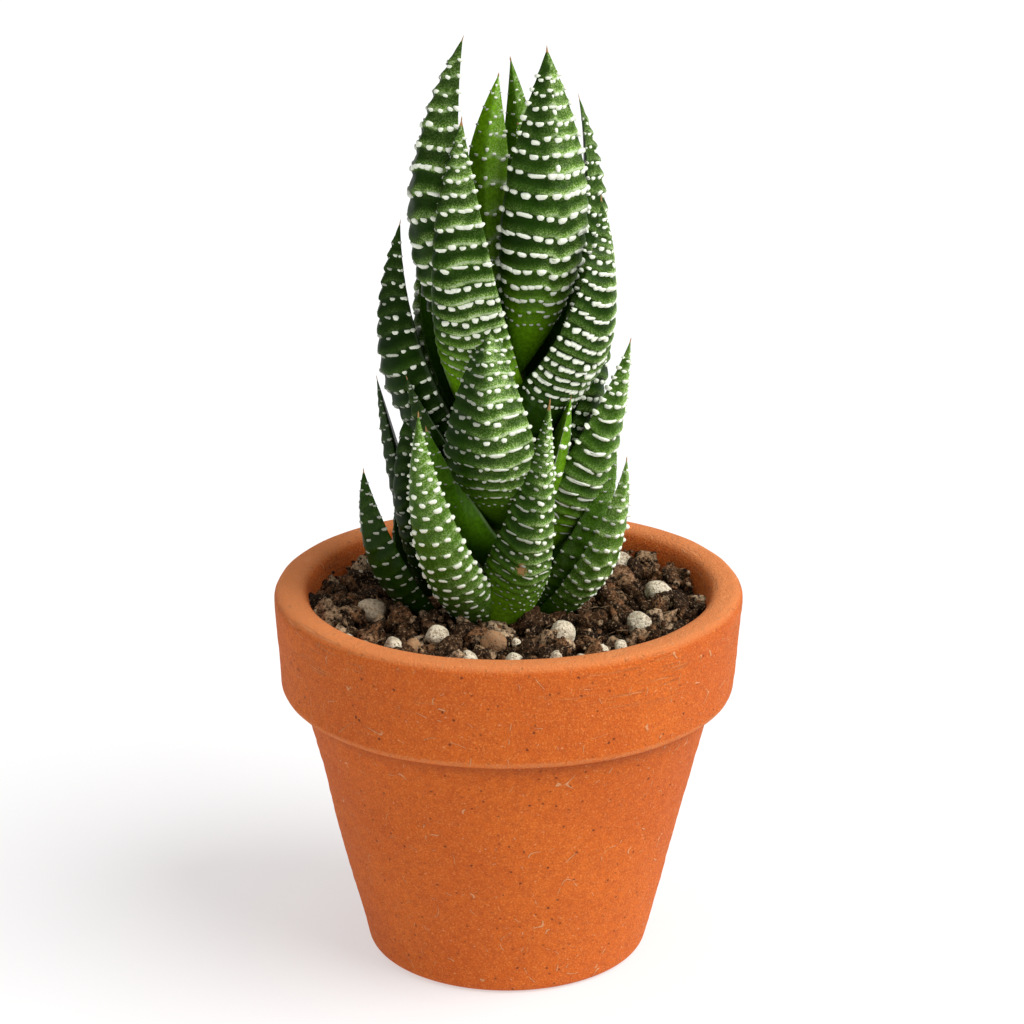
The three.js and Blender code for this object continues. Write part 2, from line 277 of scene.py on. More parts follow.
def rounded_outline(corners, steps, spacing):
    """A closed outline: each corner an arc, as a curve that leaves one side and joins the next,
    and each straight side cut into lengths of about the spacing."""
    table = np.array(corners) * MM
    corner, round_by = table[:, :2], table[:, 2]
    outline = []
    for i, here in enumerate(corner):
        before, after = corner[i - 1], corner[(i + 1) % len(corner)]
        start = here + (before - here) / np.linalg.norm(before - here) * round_by[i]
        end = here + (after - here) / np.linalg.norm(after - here) * round_by[i]
        t = np.linspace(0, 1, steps)[:, None]
        outline.append((1 - t) ** 2 * start + 2 * t * (1 - t) * here + t**2 * end)
        following = (i + 1) % len(corner)
        side = corner[following] - end
        reach = end + side * (1 - round_by[following] / np.linalg.norm(side))
        cuts = max(2, int(np.linalg.norm(reach - end) / spacing))
        t = np.linspace(0, 1, cuts + 1)[1:-1, None]
        outline.append(end + (reach - end) * t)
    return np.concatenate(outline)


def pot_points():
    """The outline turned round the axis, with a slight wobble from the wheel and turning lines
    that stand a few hundredths of a millimetre out of the rim and body. The foot and the edge of
    the drain hole stay true."""
    outline = rounded_outline(POT_CORNERS, CORNER_STEPS, WALL_STEP)
    angle = np.linspace(0, 2 * np.pi, POT_SIDES, endpoint=False)
    radius = outline[:, 0][:, None]
    height = np.repeat(outline[:, 1][:, None], POT_SIDES, axis=1)
    flat = np.stack([radius * np.cos(angle), radius * np.sin(angle), height], -1)
    wobble = BROAD_WOBBLE * waves(flat, 46 * MM, 3) + SHORT_WOBBLE * waves(flat, 11 * MM, 4)
    line = np.stack([np.zeros_like(height), 0.012 * flat[..., 0], height], -1)
    turning = TURNING_LINES * waves(line, TURNING_SPACING, 5)
    free = np.clip((height - 2 * MM) / (4 * MM), 0, 1) * (radius > 15 * MM)
    grown = radius + (wobble + turning) * free
    return np.stack([grown * np.cos(angle), grown * np.sin(angle), height], -1).reshape(-1, 3)


def clay_finish(finish):
    """Orange clay: mottled and gritty, with dark pits, pale flecks and curved fibre marks, fine
    turning scratches round the rim, painted shade in the groove below it, and a painted highlight
    on the lip and along the rim's lower edge."""
    broad = finish.grain(24 * MM, 3.0)
    fine = finish.grain(1.5 * MM, 5.0, 0.75)
    grit = finish.grain(0.32 * MM, 3.0, 0.7)
    height = finish.add("SeparateXYZ", {}, {0: finish.place()}, out=2)
    above_rim_foot = height - RIM_FOOT * MM
    clay = broad.step(0.3, 0.72).tint((0.680, 0.124, 0.006), (0.770, 0.160, 0.010))
    clay = (fine.step(0.36, 0.70) * 0.60).tint(clay, (0.52, 0.086, 0.010))
    clay = (grit.step(0.50, 0.72) * 0.60).tint(clay, (0.93, 0.34, 0.080))
    clay = (grit.step(0.48, 0.30) * 0.50).tint(clay, (0.40, 0.060, 0.007))
    pits = finish.cells(1.7 * MM).step(0.18, 0.07) * fine.step(0.40, 0.60)
    clay = (pits * 0.85).tint(clay, (0.13, 0.026, 0.006))
    flecks = finish.cells(2.3 * MM, (1, 1, 1.3)).step(0.12, 0.03)
    clay = (flecks * 0.50).tint(clay, (0.88, 0.48, 0.25))
    curl = finish.grain(5.5 * MM, 0.0) - 0.5
    fibres = curl.math("ABSOLUTE", curl).step(0.010, 0.003)
    fibres = fibres * finish.grain(1.6 * MM, 0.0).step(0.60, 0.64)
    clay = (fibres * 0.60).tint(clay, (0.95, 0.50, 0.24))
    scratches = finish.grain(0.6 * MM, 3.0, 0.6, (0.06, 0.06, 1.6)).step(0.58, 0.66)
    scratches = scratches * above_rim_foot.step(6.7 * MM, 11.7 * MM) * broad.step(0.36, 0.56)
    clay = (scratches * 0.45).tint(clay, (0.86, 0.36, 0.13))
    # painted shade: darker clay on the body just under the rim's overhang
    under_rim = above_rim_foot.step(-3.8 * MM, -0.4 * MM) * above_rim_foot.step(0.3 * MM, -0.3 * MM)
    clay = (under_rim * 0.5).tint(clay, (0.30, 0.062, 0.018))
    # painted highlight: a pale line along the rounded lower edge of the rim
    edge = above_rim_foot.step(0.2 * MM, 0.6 * MM) * above_rim_foot.step(1.5 * MM, 0.9 * MM)
    clay = (edge * 0.40 * fine.step(0.3, 0.6)).tint(clay, (0.84, 0.34, 0.12))
    # painted highlight: paler clay on the rounded top of the lip
    lip = height.step((POT_HEIGHT - 1.3) * MM, (POT_HEIGHT - 0.1) * MM) * (0.65 + fine * 0.7)
    clay = (lip * 0.50).tint(clay, (0.95, 0.37, 0.13))
    grains = fine + grit * 0.8 - pits * 0.5 - flecks * 0.15 + fibres * 0.5 - scratches * 0.4
    return {
        "Base Color": clay,
        "Roughness": 0.72 + fine * 0.15,
        "Normal": grains.relief(0.45 * MM, 1.0),
    }


clay = new_material("clay", {"Specular IOR Level": 0.30}, clay_finish)
points = pot_points()
pot = new_piece("clay_pot", [(points, ring_faces(len(points) // POT_SIDES, POT_SIDES, True))], clay)
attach(pot, "root")
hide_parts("pot")

# ---------------------------------------------------------------- soil
# A loose mix that fills the pot: crumbly peat and chopped bark, brown to near black, in lumps of a
# few millimetres with finer crumbs and root fibres, and cream pumice pebbles thrown on top.

SOIL_LEVEL = 61.5 * MM
SOIL_RADIUS = 34.2 * MM
SOIL_FOOT_RADIUS = 18.9 * MM
SOIL_FOOT = 5.4 * MM
SOIL_SIDES = 200
SOIL_RINGS = 70
PUMICE = [  # place from the middle and radius, in millimetres, and how brown, from 0 to 1
    (-22.9, -6, 2.1, 0.50), (-11.6, -18, 1.8, 0.3), (-2.3, -22, 2.2, 0.92), (9.1, -17, 2.0, 0.3),
    (25.7, 2.7, 1.9, 0.1), (21.9, -11.8, 1.8, 0.15), (-18.5, -22.6, 1.6, 0.2),
    (-6.2, -28.4, 1.6, 0.3), (1.2, -29.5, 1.5, 0.1), (-12, 22, 2.2, 0.2), (6, 26, 2.0, 0.6),
    (20, 18, 2.0, 0.1), (-25, 9, 1.7, 0.4), (-15.5, -22, 1.2, 1.0), (15.3, -24.6, 1.3, 0.2),
    (18.7, -22.8, 1.2, 0.1), (7.9, -27.8, 1.2, 0.3), (1.5, -20.2, 0.8, 0.1),
    (-26.4, -18, 0.9, 0.0), (28.9, -1.4, 1.0, 1.0), (12, -26.5, 0.7, 0.0), (-9, -24, 0.6, 0.1),
]
CLUMPS = [  # the biggest clods: place and radius, in millimetres, and colour from dark to tan
    (4, -11.5, 3.6, 0.34), (20, 8, 3.3, 0.70), (14, -10, 2.9, 0.42), (18.5, -5, 3.0, 0.64),
    (-17, -10.5, 3.4, 0.50), (-24, 9, 3.0, 0.10), (-29.5, 4, 2.3, 0.15), (-20, 1, 2.8, 0.35),
    (24.5, -3.5, 2.2, 0.40), (29, -6, 2.1, 0.50), (22, -20.5, 2.2, 0.75), (-10, -23.5, 2.5, 0.30),
    (-6.5, -15.5, 2.6, 0.20), (-22, -16, 2.2, 0.55), (3.5, -24, 2.4, 0.25), (26.5, 10, 2.8, 0.60),
    (13, -20.5, 2.0, 0.66), (-28.5, -9, 1.9, 0.8), (0, 17, 3.2, 0.4), (-10, 14, 3.0, 0.6),
    (12, 14, 3.1, 0.5), (-18, 20, 2.8, 0.3), (24, -14.5, 2.0, 0.3), (-14, -4, 2.9, 0.5),
]
CLODS = 430
CRUMBS = 850
FIBRES = 70
FACETS = 16
LUMP_WAVES = 6
FIBRE_RINGS = 8
BED_DROP = 0.9 * MM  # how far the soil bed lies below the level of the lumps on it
GOLDEN_ANGLE = 2.39996  # in radians


def soil_height(x, y):
    """Height of the packed soil at a place: level, with soft hollows and fine crumbs."""
    flat = np.stack([x, y, np.zeros_like(x)], -1)
    hollows = 0.7 * MM * waves(flat, 9 * MM, 11)
    return SOIL_LEVEL - BED_DROP + hollows + 0.3 * MM * waves(flat, 2.2 * MM, 12)


def soil_points():
    """Rings from the foot of the plug up its side and in over its rough top to the middle."""
    angle = np.linspace(0, 2 * np.pi, SOIL_SIDES, endpoint=False)
    share = np.linspace(1, 0.01, SOIL_RINGS)[:, None]
    x = SOIL_RADIUS * share * np.cos(angle)
    y = SOIL_RADIUS * share * np.sin(angle)
    top = np.stack([x, y, soil_height(x, y)], -1).reshape(-1, 3)
    foot = SOIL_FOOT_RADIUS * np.stack([np.cos(angle), np.sin(angle), 0 * angle], -1)
    foot[:, 2] = SOIL_FOOT
    poles = np.array([(0, 0, SOIL_FOOT), (0, 0, SOIL_LEVEL - BED_DROP)])
    return np.concatenate([foot, top, poles])


def copied(faces, count, step):
    """The faces of one form, once for each of its copies, whose points come step apart."""
    starts = np.arange(count)[:, None, None] * step
    return [(group + starts).reshape(-1, group.shape[-1]) for group in faces]


def lumps(centres, radii, sides, rings, uneven, rough, seed, kind=None):
    """Closed lumps: a ball drawn in to random flat facets, with corners rounded by a high power
    mean, then pushed in and out by coarse, middling and fine plane waves and turned to a random
    lie. uneven is how far in the facets lie, rough the height of the waves, and kind the colour
    number of each lump, or else a random one."""
    random = np.random.default_rng(seed)
    count = len(centres)
    polar = np.linspace(-np.pi / 2, np.pi / 2, rings + 2)[1:-1, None]
    angle = np.linspace(0, 2 * np.pi, sides, endpoint=False)
    ball = np.stack([np.cos(polar) * np.cos(angle), np.cos(polar) * np.sin(angle),
                     np.sin(polar) * np.ones(sides)], -1).reshape(-1, 3)
    ball = np.concatenate([ball, [(0, 0, -1), (0, 0, 1)]])
    facing = random.normal(size=(count, FACETS, 3))
    facing /= np.linalg.norm(facing, axis=-1, keepdims=True)
    away = 1 - uneven * random.uniform(size=(count, 1, FACETS))
    reached = np.maximum(ball @ facing.transpose(0, 2, 1), 0) / away
    size = ((reached**10).sum(-1) + (1 + 0.6 * uneven) ** -10) ** -0.1
    for fineness, share in ((3.0, 1.0), (8.0, 0.5), (16.0, 0.25)):
        way = random.normal(size=(count, LUMP_WAVES, 3)) * fineness
        phase = random.uniform(0, 2 * np.pi, (count, 1, LUMP_WAVES))
        size = size + rough * share * np.sin(ball @ way.transpose(0, 2, 1) + phase).sum(-1) / 2.4
    shape = ball * size[..., None]
    shape = shape * (1 + uneven * random.uniform(-0.8, 0.8, (count, 1, 3)))
    turn, _ = np.linalg.qr(random.normal(size=(count, 3, 3)))
    turn *= np.sign(np.linalg.det(turn))[:, None, None]
    shape = (shape @ turn.transpose(0, 2, 1)) * radii[:, None, None] + centres[:, None]
    kind = random.uniform(size=count) if kind is None else kind
    faces = copied(ring_faces(rings, sides), count, len(ball))
    return shape.reshape(-1, 3), faces, np.repeat(kind, len(ball))


def fibre_points(x, y, seed):
    """Fine roots: thin three-sided threads tapered to both ends, each along a parabola from its
    middle: by a random length one way, a bend across it, and a tilt and an arch over the soil."""
    random = np.random.default_rng(seed)
    count = len(x)
    t = np.linspace(-1, 1, FIBRE_RINGS)
    way = random.uniform(0, 2 * np.pi, (count, 1))
    length = random.uniform(1.2, 3.4, (count, 1)) * MM
    bend = random.uniform(-0.5, 0.5, (count, 1)) * length * t**2
    middle = np.stack([
        x[:, None] + length * t * np.cos(way) - bend * np.sin(way),
        y[:, None] + length * t * np.sin(way) + bend * np.cos(way),
        soil_height(x, y)[:, None] + 1.7 * MM + random.uniform(-0.5, 1.1, (count, 1)) * MM * t
        - 0.9 * MM * t**2,
    ], -1)[:, :, None]
    corner = np.arange(3) * 2 * np.pi / 3
    radius = (random.uniform(0.09, 0.17, (count, 1)) * MM * (1 - 0.8 * t**2))[..., None]
    level = np.stack([-np.sin(way), np.cos(way), 0 * way], -1)[:, :, None]
    around = level * np.cos(corner)[None, None, :, None] + np.array([0, 0, 1]) * np.sin(corner)[:, None]
    points = (middle + radius[..., None] * around).reshape(count, -1, 3)
    points = np.concatenate([points, middle[:, 0], middle[:, -1]], 1)
    return points.reshape(-1, 3), copied(ring_faces(FIBRE_RINGS, 3), count, points.shape[1])


def scattered(count, reach, seed):
    """Places on a disc, evenly spread: the golden angle, with the radius as a square root, and a
    random nudge."""
    random = np.random.default_rng(seed)
    n = np.arange(count) + 0.5
    angle = n * GOLDEN_ANGLE + random.uniform(-0.4, 0.4, count)
    radius = reach * np.sqrt(n / count) + random.uniform(-1, 1, count) * reach / np.sqrt(count)
    radius = np.clip(radius, 0, reach)
    return radius * np.cos(angle), radius * np.sin(angle)


def peat_finish(finish):
    """Crumbly peat and bark: near black to red-brown and tan from lump to lump, with painted shade
    in its hollows and speckled with paler and darker grit, the pale specks partly painted glints,
    rough and dull."""
    kind = finish.painted("kind")
    coarse = finish.grain(1.0 * MM, 4.0, 0.75)
    grit = finish.grain(0.40 * MM, 3.0, 0.7)
    brown = finish.add("ValToRGB", {"stops": [
        (0.0, (0.018, 0.010, 0.005)), (0.35, (0.082, 0.040, 0.018)), (0.65, (0.260, 0.120, 0.052)),
        (0.82, (0.43, 0.280, 0.160)), (1.0, (0.64, 0.45, 0.28)),
    ]}, {0: kind})
    # painted shade: near black where the coarse noise, which also sets the bump, lies low
    brown = coarse.step(0.38, 0.60).tint((0.009, 0.005, 0.003), brown)
    # pale grit specks, which also stand in for painted glints
    brown = (grit.step(0.55, 0.68) * 0.50).tint(brown, (0.66, 0.44, 0.26))
    brown = (grit.step(0.46, 0.34) * 0.6).tint(brown, (0.008, 0.005, 0.003))
    return {
        "Base Color": brown,
        "Roughness": 0.62 + coarse * 0.35,
        "Normal": (coarse + grit * 0.6).relief(0.60 * MM, 0.8),
    }


def pumice_finish(finish):
    """Cream pumice: chalky and grained, pitted with small dark pores, soiled brown in places."""
    kind = finish.painted("kind")
    pores = finish.cells(0.62 * MM).step(0.26, 0.08)
    grain = finish.grain(0.45 * MM, 3.0, 0.7)
    stain = finish.grain(2.0 * MM, 4.0, 0.7).step(0.46, 0.68)
    cream = kind.step(0.2, 0.95).tint((0.88, 0.79, 0.60), (0.42, 0.215, 0.100))
    cream = (grain.step(0.55, 0.38) * 0.75).tint(cream, (0.37, 0.26, 0.15))
    cream = (stain * 0.60).tint(cream, (0.26, 0.17, 0.10))
    cream = (pores * 0.6).tint(cream, (0.14, 0.09, 0.05))
    return {
        "Base Color": cream,
        "Roughness": 0.85 + pores * 0.1,
        "Normal": (grain - pores * 0.8).relief(0.50 * MM, 0.9),
    }


peat = new_material("peat", {"Specular IOR Level": 0.06}, peat_finish)
pumice = new_material("pumice", {"Specular IOR Level": 0.1}, pumice_finish)

points = soil_points()
soil = new_piece(
    "soil_bed",
    [(points, ring_faces(SOIL_RINGS + 1, SOIL_SIDES))],
    peat,
    {"kind": 0.12 + 0.10 * waves(points, 3 * MM, 13)},
)
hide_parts("soil")

x, y, size, kind = np.array(CLUMPS).T
x, y, size = x * MM, y * MM, size * MM
centres = np.stack([x, y, soil_height(x, y) + 0.12 * size + 0.4 * MM], -1)
points, faces, kind = lumps(
    centres, size, sides=40, rings=26, uneven=0.44, rough=0.17, seed=21, kind=kind
)
clumps = new_piece("soil_clumps", [(points, faces)], peat, {"kind": kind})

random = np.random.default_rng(22)
x, y = scattered(CLODS, SOIL_RADIUS - 1.4 * MM, 22)
size = random.uniform(1.15, 2.4, CLODS) * MM
centres = np.stack([x, y, soil_height(x, y) + random.uniform(0.5, 1.3, CLODS) * MM], -1)
points, faces, kind = lumps(centres, size, sides=12, rings=8, uneven=0.46, rough=0.12, seed=23)
clods = new_piece("soil_clods", [(points, faces)], peat, {"kind": kind})

x, y = scattered(CRUMBS, SOIL_RADIUS - 0.6 * MM, 24)
size = random.uniform(0.30, 0.85, CRUMBS) * MM
centres = np.stack([x, y, soil_height(x, y) + random.uniform(0.9, 2.3, CRUMBS) * MM], -1)
points, faces, kind = lumps(centres, size, sides=6, rings=4, uneven=0.42, rough=0.12, seed=25)
crumbs = new_piece("soil_crumbs", [(points, faces)], peat, {"kind": kind})

x, y = scattered(FIBRES, SOIL_RADIUS - 3.5 * MM, 27)
points, faces = fibre_points(x, y, 28)
fibres = new_piece("root_fibres", [(points, faces)], peat, {"kind": np.full(len(points), 0.85)})

x, y, size, kind = np.array(PUMICE).T
centres = np.stack([x, y, SOIL_LEVEL / MM + 0.4 + 0.35 * size], -1) * MM
size = size * MM * 1.08  # a little over, since the facets draw them in
points, faces, kind = lumps(
    centres, size, sides=32, rings=20, uneven=0.14, rough=0.025, seed=26, kind=kind
)
pebbles = new_piece("pumice_pebbles", [(points, faces)], pumice, {"kind": kind})

for piece in (soil, clumps, clods, crumbs, fibres, pebbles):
    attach(piece, "root")

# ---------------------------------------------------------------- stem
# One short upright stem, which the leaf bases hide. It is green and ringed by old leaf scars.

STEM_FOOT = 50 * MM
STEM_TOP = 118 * MM
STEM_FOOT_RADIUS = 5 * MM
STEM_TOP_RADIUS = 2 * MM
STEM_SIDES = 48
STEM_RINGS = 90
RING_SWELL = 0.15 * MM
RING_SPACING = 3.2 * MM


def stem_points():
    """A cone that ends in a dome, with a low swelling at each old leaf scar: a sine of the height
    that winds twice round."""
    height = np.linspace(STEM_FOOT, STEM_TOP, STEM_RINGS)[:, None]
    angle = np.linspace(0, 2 * np.pi, STEM_SIDES, endpoint=False)
    share = np.clip((height - SOIL_LEVEL) / (STEM_TOP - SOIL_LEVEL), 0, 1)
    radius = STEM_FOOT_RADIUS + (STEM_TOP_RADIUS - STEM_FOOT_RADIUS) * share
    radius = radius * np.sqrt(1 - np.clip((height - STEM_TOP + 2 * MM) / (2.1 * MM), 0, 1) ** 2)
    swell = RING_SWELL * np.sin(2 * np.pi * height / RING_SPACING + 2 * angle)
    radius = radius + swell * (share < 0.95)
    points = np.stack([radius * np.cos(angle), radius * np.sin(angle),
                       height * np.ones(STEM_SIDES)], -1).reshape(-1, 3)
    return np.concatenate([points, [(0, 0, STEM_FOOT - 0.2 * MM), (0, 0, STEM_TOP + 0.1 * MM)]])


def stem_finish(finish):
    """Pale green skin with brown scar lines."""
    fine = finish.grain(1.2 * MM, 3.0)
    green = fine.tint((0.13, 0.22, 0.03), (0.22, 0.32, 0.06))
    rings = finish.grain(1.6 * MM, 1.0, 0.5, (0.2, 0.2, 2)).step(0.55, 0.65)
    return {
        "Base Color": (rings * 0.5).tint(green, (0.16, 0.10, 0.04)),
        "Roughness": 0.5 + rings * 0.3,
        "Normal": fine.relief(0.2 * MM, 0.4),
    }


stem_skin = new_material("stem_skin", {}, stem_finish)
stem = new_piece("inner_stem", [(stem_points(), ring_faces(STEM_RINGS, STEM_SIDES))], stem_skin)
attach(stem, "root")
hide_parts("stem")

# ---------------------------------------------------------------- leaves
# Fleshy three-sided leaves, each drawn out to a thin dry tip. The outer face is ringed by low
# swellings that carry rows of hard white tubercles, single or run together into short bars.

SINK = 4  # millimetres of leaf below its foot
KEEL = 0.72  # depth of the outer face, as a share of half the width
INNER_DEPTH = 0.17  # and of the inner face
CREST = 0.28  # millimetres that a swelling stands out
FURROW = 0.24  # and that the skin lies deeper between two swellings
SLOPE_TO_TIP = 0.66  # share of a row over which a swelling falls away on the tip's side
SLOPE_TO_FOOT = 0.26  # and on the foot's side
FIRST_BAND = 0.14  # where the first row lies, as a share of the length
LAST_BAND = 0.93
LAST_BEADS = 0.955  # where the tubercles end
BAND_SPREAD = 0.035  # sets how much wider apart the rows are halfway along a leaf
LINE_STEPS = 420  # in the sum that gives a leaf's line
OUTER_SIDES = 34
INNER_SIDES = 10
ROWS_A_BAND = 7
PLAIN_ROWS = 22  # more rings, for the foot and the tip
BEAD_SIDES = 10
BEAD_RINGS = ((0.93, -0.8), (1.0, 0.0), (0.86, 0.62), (0.48, 0.94))  # reach and height of each
EDGE_BEAD = 0.58  # size of the tubercles along a leaf's edges, in millimetres
FROST_AND_SHEEN_TAIL = 0.9  # millimetres over which the pale bloom and painted sheen round a tubercle fade towards the tip
FROST_AND_SHEEN_EDGE = 0.12  # and towards the foot
FROST_AND_SHEEN_SIDE = 0.6  # and sideways
SCAR_LENGTH = 1.6  # reach of a brown scar, in millimetres
SCAR_WIDTH = 0.28  # and across, as a share of half the leaf's width

# A leaf's numbers, with angles in degrees and lengths in millimetres:
# turn: direction seen from above; up, out: place of the foot above the soil and from the axis;
# lean: angle from upright at foot and tip; ease: where it bends; sway: sideways angle at foot and
# tip; roll: turn about its own line; widest: where it is widest; foot: width there against the
# widest; taper: how full it stays towards the tip; ridge: where the keel runs, from -1 at the left
# edge to 1 at the right; keel: where it starts and how sharp it gets;
# bands: rows of tubercles; swell: height of the swellings; sag: how far the rows hang down in the
# middle, in rows; step: how much lower they are right of the keel, in rows; bare: smooth share
# above the foot; fine: share above that over which the tubercles grow to full size;
# beads, gap: size of the tubercles and of the gaps between them; stagger: how far every second one
# is set back, in rows; bars: share of them run together, most at the place bar_edge across;
# bar_length: millimetres; lumpy: share of the bars that are uneven; crest_beads: size of the
# tubercles along the keel; dim: place across, left of which they are small and grey, the grey
# painted shade; frost: pale bloom on the left and right flank, with painted sheen, mostly on the
# right; shade: darkness between the rows, partly painted shade under each swelling; light: paler
# green, kept low on leaves in the shade of others and highest on the right flank, as painted
# light and shade; warm, pale_foot: yellow in the green, all over and at the foot;
# margin: paleness of the thin edges; dry: millimetres of dry tip; scar: its place along and across
LEAF = dict(ease=1, sway=(0, 0), roll=0, widest=0.38, foot=0.8, taper=1.5, ridge=0,
            keel=(0.35, 0.9), swell=1, sag=0.2, step=0, bare=0.10, fine=0.25, beads=0.9, gap=1.0,
            stagger=0.1, bars=0.3, bar_edge=0, bar_length=(1.9, 3.4), lumpy=0.5, crest_beads=0,
            dim=-1.1, frost=(0.2, 0.9), shade=0.8, light=0.35, warm=0.05, pale_foot=0.0,
            margin=0.0, dry=1.0, scar=None)
